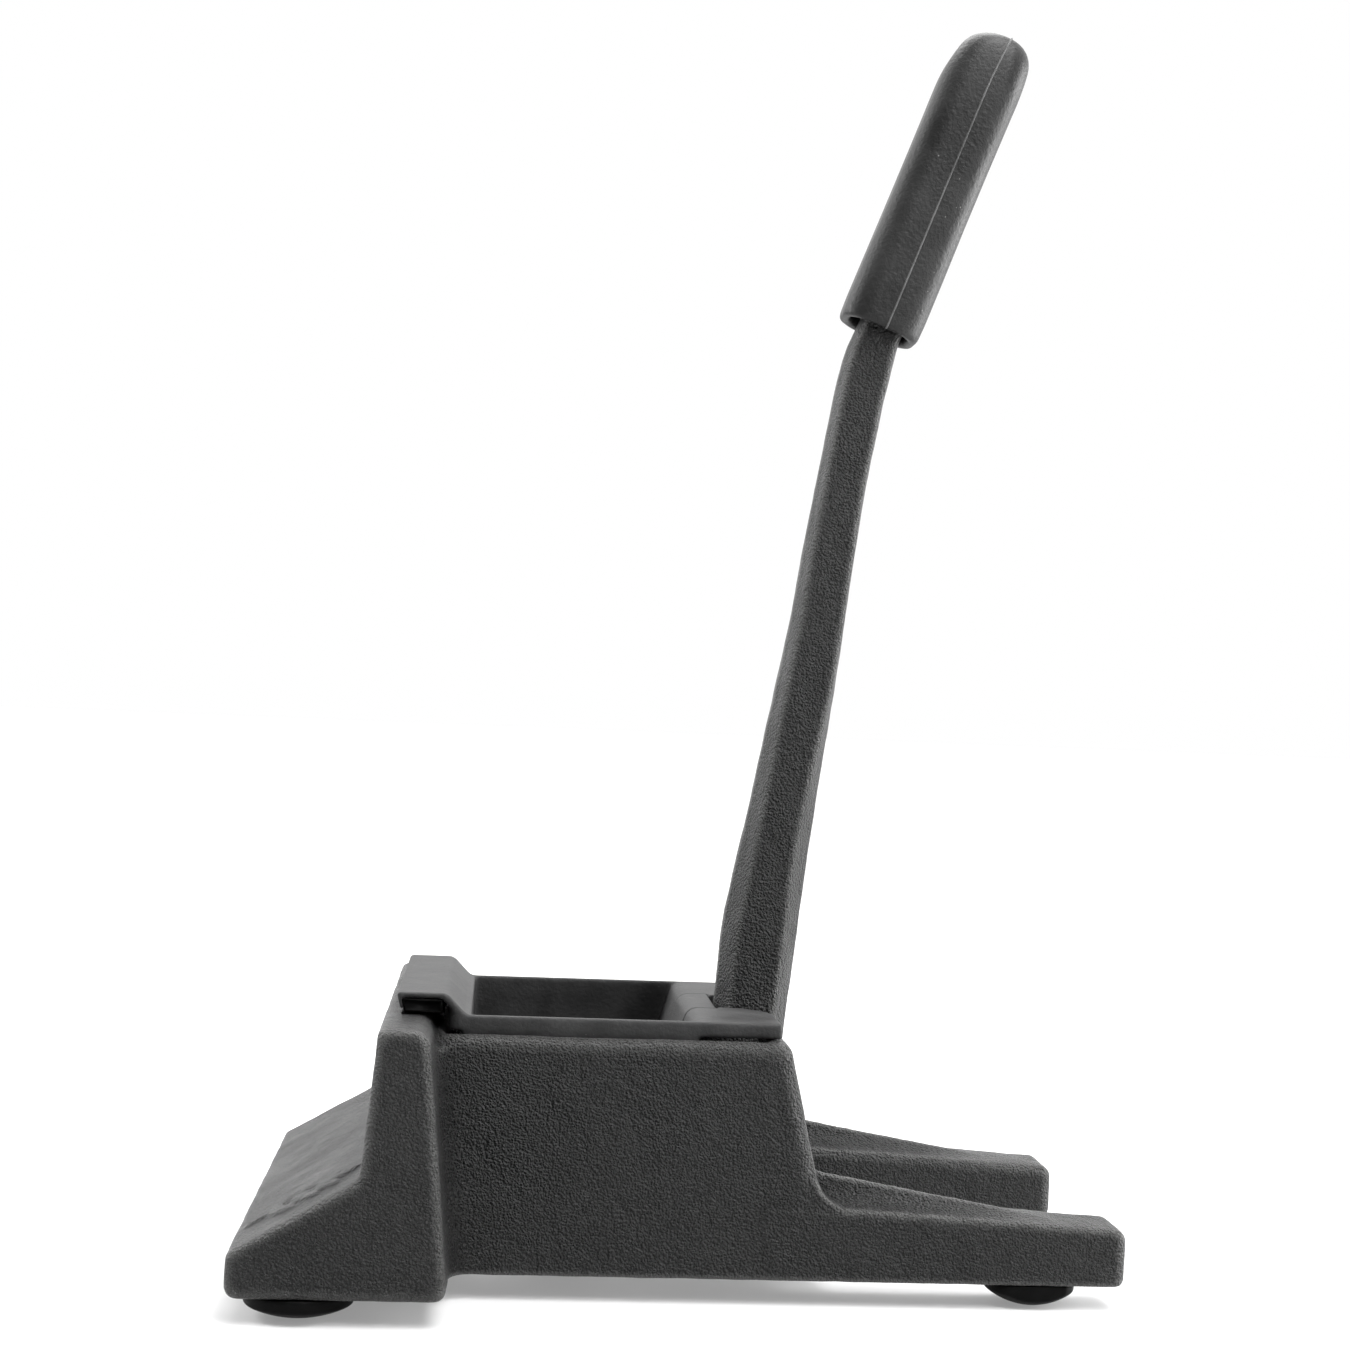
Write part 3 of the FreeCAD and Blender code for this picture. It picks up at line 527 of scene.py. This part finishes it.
def makeFloor():
    half = studio["floorSize"]
    mesh = bpy.data.meshes.new("studioFloor")
    corners = [(-half, -half, 0), (half, -half, 0), (half, half, 0), (-half, half, 0)]
    mesh.from_pydata(corners, [], [(0, 1, 2, 3)])
    floor = bpy.data.objects.new("studioFloor", mesh)
    bpy.context.scene.collection.objects.link(floor)
    material, tree, shader = startMaterial("paleFloor")
    place = objectPlace(tree)
    shade = mapTo(tree, noiseAt(tree, place, 3.0), 0.3, 0.7, 0, 1)
    base = studio["floorColour"]
    tree.links.new(mixColours(tree, shade, tuple(c * 0.985 for c in base), base), shader.inputs["Base Color"])
    shader.inputs["Roughness"].default_value = 0.9
    shader.inputs["Emission Color"].default_value = (1, 1, 1, 1)
    split = tree.nodes.new("ShaderNodeSeparateXYZ")
    tree.links.new(place, split.inputs[0])
    glow = mapTo(tree, split.outputs["Y"], -0.1, 0.5, studio["floorGlowNear"], studio["floorGlow"])
    tree.links.new(glow, shader.inputs["Emission Strength"])
    floor.data.materials.append(material)


def makeWorld():
    world = bpy.data.worlds.new("studioRoom")
    bpy.context.scene.world = world
    world.use_nodes = True
    tree = world.node_tree
    background = tree.nodes["Background"]
    place = tree.nodes.new("ShaderNodeTexCoord").outputs["Generated"]
    split = tree.nodes.new("ShaderNodeSeparateXYZ")
    tree.links.new(place, split.inputs[0])
    level = mapTo(tree, split.outputs["Y"], -0.55, 0.35, studio["roomInFront"], studio["backdrop"])
    seen = tree.nodes.new("ShaderNodeLightPath").outputs["Is Camera Ray"]  # the room is seen as white
    brightness = tree.nodes.new("ShaderNodeMix")
    tree.links.new(seen, brightness.inputs[0])
    tree.links.new(level, brightness.inputs[2])
    brightness.inputs[3].default_value = 1.0
    tree.links.new(brightness.outputs[0], background.inputs["Strength"])
    background.inputs["Color"].default_value = (1, 1, 1, 1)


def addSoftbox(name, place, target, size, power):
    light = bpy.data.lights.new(name, "AREA")
    light.shape = "RECTANGLE"
    light.size = size[0]
    light.size_y = size[1]
    light.energy = power
    holder = bpy.data.objects.new(name, light)
    bpy.context.scene.collection.objects.link(holder)
    holder.location = place
    aim = Vector(target) - Vector(place)
    holder.rotation_euler = aim.to_track_quat("-Z", "Y").to_euler()


makeFloor()
makeWorld()
addSoftbox("overhead", (0.30, -0.38, 1.15), (0, 0, 0.1), (0.75, 0.45), 17)
addSoftbox("overheadBehind", (0.0, 0.55, 1.2), (0, 0, 0.1), (0.9, 0.6), 10)
addSoftbox("rightSoftbox", (0.85, 0.12, 0.26), (0.0, 0.0, 0.10), (0.5, 0.5), 10)
addSoftbox("frontTop", (0.40, -0.66, 0.80), (0, 0, 0.06), (0.25, 0.25), 4.5)
addSoftbox("frontRight", (0.50, -0.50, 0.30), (0.08, 0, 0.05), (0.25, 0.25), 0.8)
addSoftbox("leftSoftbox", (-0.9, 0.45, 0.62), (0, 0, 0.12), (0.4, 0.45), 8)
print("studio: done")


# Camera.

viewer = {
    "place": (-0.0552, -0.63765, 0.1555),
    "right": (0.99616, -0.07788, 0.03998),
    "up": (-0.04108, -0.01246, 0.99908),
    "forward": (0.07731, 0.99688, 0.01561),
    "lens": 59.73,
}
cameraData = bpy.data.cameras.new("viewer")
cameraData.lens = viewer["lens"]
cameraData.sensor_width = 36.0
cameraData.clip_start = 0.01
camera = bpy.data.objects.new("viewer", cameraData)
bpy.context.scene.collection.objects.link(camera)
columns = (viewer["right"], viewer["up"], tuple(-c for c in viewer["forward"]))
turn = Matrix(columns).transposed().to_4x4()
camera.matrix_world = Matrix.Translation(viewer["place"]) @ turn
bpy.context.scene.camera = camera
bpy.context.scene.view_settings.view_transform = "Standard"
